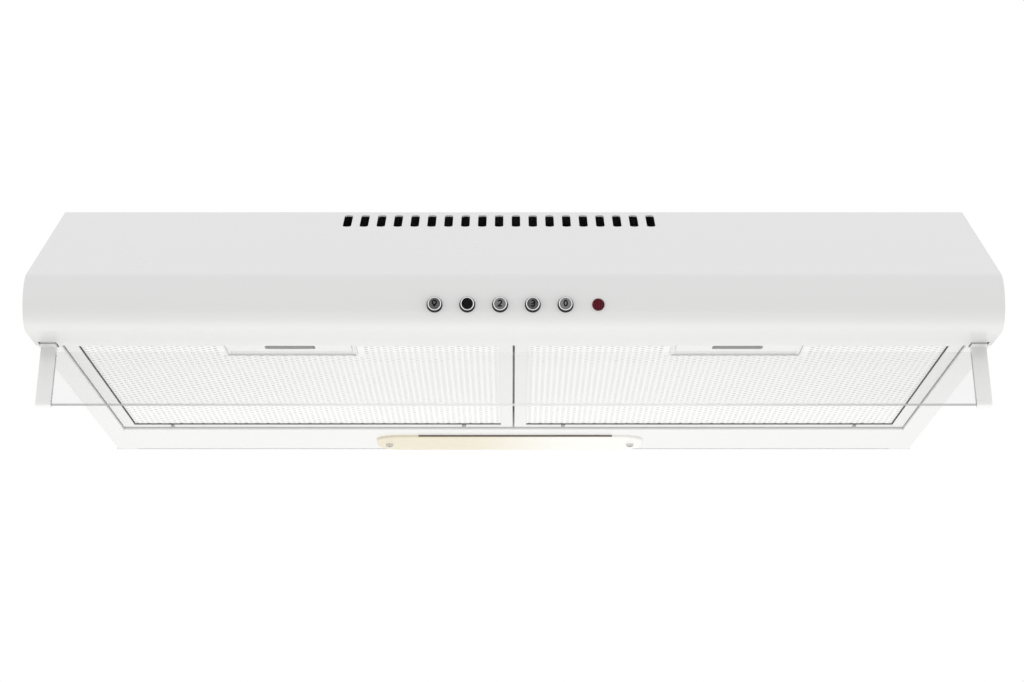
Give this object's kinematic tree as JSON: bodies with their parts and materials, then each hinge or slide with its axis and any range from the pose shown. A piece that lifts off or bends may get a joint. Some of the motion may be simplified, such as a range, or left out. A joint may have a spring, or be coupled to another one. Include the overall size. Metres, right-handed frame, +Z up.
{
  "type": "under cabinet range hood",
  "caption": "Slim white visor range hood for under a wall cabinet: sloped slotted front, push buttons on a rounded nose, clear tilting visor, grease filters and lamp below.",
  "frame": {"origin": "centre of the four cabinet screw holes, on the flat top face", "axes": "+X to the right for someone facing the hood, +Y towards the wall, +Z up out of the top face"},
  "size_m": [0.6, 0.4849, 0.185],
  "materials": {
    "white_enamel": "glossy baked enamel with a fine orange peel",
    "filter_paint": "satin white paint",
    "galvanised_steel": "zinc coated, faint spangle",
    "motor_steel": "turned can, satin",
    "bright_steel": "bright zinc plated",
    "chrome_trim": "polished",
    "black_plastic": "fine moulded grain",
    "grey_plastic": "fine moulded grain",
    "white_plastic": "smooth moulded, semi gloss",
    "button_cap": "smoked metallised face",
    "red_lens": "deep red, clear, ribbed inside",
    "lamp_diffuser": "translucent, prismatic inside",
    "lamp_ceramic": "matt glaze",
    "bulb_glass": "opal",
    "clear_pane": "clear, polished edges",
    "fleece": "non-woven, soft",
    "wire_sheath": "smooth grey sheath"
  },
  "bodies": {
    "hood": {"air_chamber": "black_plastic", "back_panel": "galvanised_steel", "blower_screws": "bright_steel", "bulb_caps": "bright_steel", "button_bezels": "chrome_trim", "cable_gland": "black_plastic", "canopy_shell": "white_enamel", "centre_rail": "galvanised_steel", "collar_screws": "bright_steel", "duct_collar": "black_plastic", "filter_hinge_brackets": "galvanised_steel", "indicator_lens": "red_lens", "internal_wiring": "wire_sheath", "junction_box": "grey_plastic", "lamp_bulbs": "bulb_glass", "lamp_cover": "lamp_diffuser", "lamp_cover_screws": "bright_steel", "lamp_holders": "lamp_ceramic", "lamp_tray": "white_enamel", "left_blower_housing": "galvanised_steel", "left_inlet_guard": "black_plastic", "left_inlet_plate": "galvanised_steel", "left_motor": "motor_steel", "left_side_panel": "white_enamel", "motor_capacitor": "white_plastic", "rear_base_plate": "white_enamel", "right_blower_housing": "galvanised_steel", "right_inlet_guard": "black_plastic", "right_inlet_plate": "galvanised_steel", "right_motor": "motor_steel", "right_side_panel": "white_enamel", "switch_box": "black_plastic", "visor_brackets": "galvanised_steel"},
    "visor": {"visor_pane": "clear_pane", "left_visor_arm": "white_plastic", "right_visor_arm": "white_plastic", "visor_pins": "bright_steel"},
    "left_filter": {"left_filter_frame": "filter_paint", "left_filter_grille": "filter_paint", "left_filter_mat": "fleece", "left_mat_retainer": "bright_steel", "left_latch_spring": "bright_steel"},
    "right_filter": {"right_filter_frame": "filter_paint", "right_filter_grille": "filter_paint", "right_filter_mat": "fleece", "right_mat_retainer": "bright_steel", "right_latch_spring": "bright_steel"},
    "left_latch": {"left_filter_latch": "white_plastic"},
    "right_latch": {"right_filter_latch": "white_plastic"},
    "left_fan": {"left_impeller": "grey_plastic"},
    "right_fan": {"right_impeller": "grey_plastic"},
    "changeover": {"changeover_flap": "black_plastic", "changeover_lever": "grey_plastic"},
    "front_flap": {"front_backdraft_flap": "grey_plastic"},
    "rear_flap": {"rear_backdraft_flap": "grey_plastic"},
    "push_light": {"button_light": "button_cap"},
    "push_speed_1": {"button_speed_1": "button_cap"},
    "push_speed_2": {"button_speed_2": "button_cap"},
    "push_speed_3": {"button_speed_3": "button_cap"},
    "push_off": {"button_off": "button_cap"}
  },
  "joints": [
    {"name": "visor_tilt", "type": "hinge", "parent": "hood", "child": "visor", "pos_m": [0, -0.27, -0.109], "axis": [-1, 0, 0], "range_deg": [0, 65]},
    {"name": "press_light", "type": "slide", "parent": "hood", "child": "push_light", "axis": [0, 1, 0], "range_m": [0, 0.003], "stiffness_N_per_m": 300},
    {"name": "press_speed_1", "type": "slide", "parent": "hood", "child": "push_speed_1", "axis": [0, 1, 0], "range_m": [0, 0.003], "stiffness_N_per_m": 300},
    {"name": "press_speed_2", "type": "slide", "parent": "hood", "child": "push_speed_2", "axis": [0, 1, 0], "range_m": [0, 0.003], "stiffness_N_per_m": 300},
    {"name": "press_speed_3", "type": "slide", "parent": "hood", "child": "push_speed_3", "axis": [0, 1, 0], "range_m": [0, 0.003], "stiffness_N_per_m": 300},
    {"name": "press_off", "type": "slide", "parent": "hood", "child": "push_off", "axis": [0, 1, 0], "range_m": [0, 0.003], "stiffness_N_per_m": 300},
    {"name": "left_filter_swing", "type": "hinge", "parent": "hood", "child": "left_filter", "pos_m": [-0.142, 0.059, -0.104], "axis": [1, 0, 0], "range_deg": [0, 85]},
    {"name": "left_latch_slide", "type": "slide", "parent": "left_filter", "child": "left_latch", "axis": [0, 1, 0], "range_m": [0, 0.008], "stiffness_N_per_m": 150, "deforming": ["left_latch_spring"]},
    {"name": "left_fan_spin", "type": "hinge", "parent": "hood", "child": "left_fan", "pos_m": [-0.206, -0.033, -0.052], "axis": [0, 0, 1], "continuous": true},
    {"name": "right_filter_swing", "type": "hinge", "parent": "hood", "child": "right_filter", "pos_m": [0.142, 0.059, -0.104], "axis": [1, 0, 0], "range_deg": [0, 85]},
    {"name": "right_latch_slide", "type": "slide", "parent": "right_filter", "child": "right_latch", "axis": [0, 1, 0], "range_m": [0, 0.008], "stiffness_N_per_m": 150, "deforming": ["right_latch_spring"]},
    {"name": "right_fan_spin", "type": "hinge", "parent": "hood", "child": "right_fan", "pos_m": [0.206, -0.033, -0.052], "axis": [0, 0, 1], "continuous": true},
    {"name": "changeover_turn", "type": "hinge", "parent": "hood", "child": "changeover", "pos_m": [0, -0.019, -0.012], "axis": [-1, 0, 0], "range_deg": [0, 85]},
    {"name": "front_flap_swing", "type": "hinge", "parent": "hood", "child": "front_flap", "pos_m": [0, 0.0758, 0.0046], "axis": [-1, 0, 0], "range_deg": [0, 80]},
    {"name": "rear_flap_swing", "type": "hinge", "parent": "hood", "child": "rear_flap", "pos_m": [0, 0.0822, 0.0046], "axis": [1, 0, 0], "range_deg": [0, 80]}
  ]
}
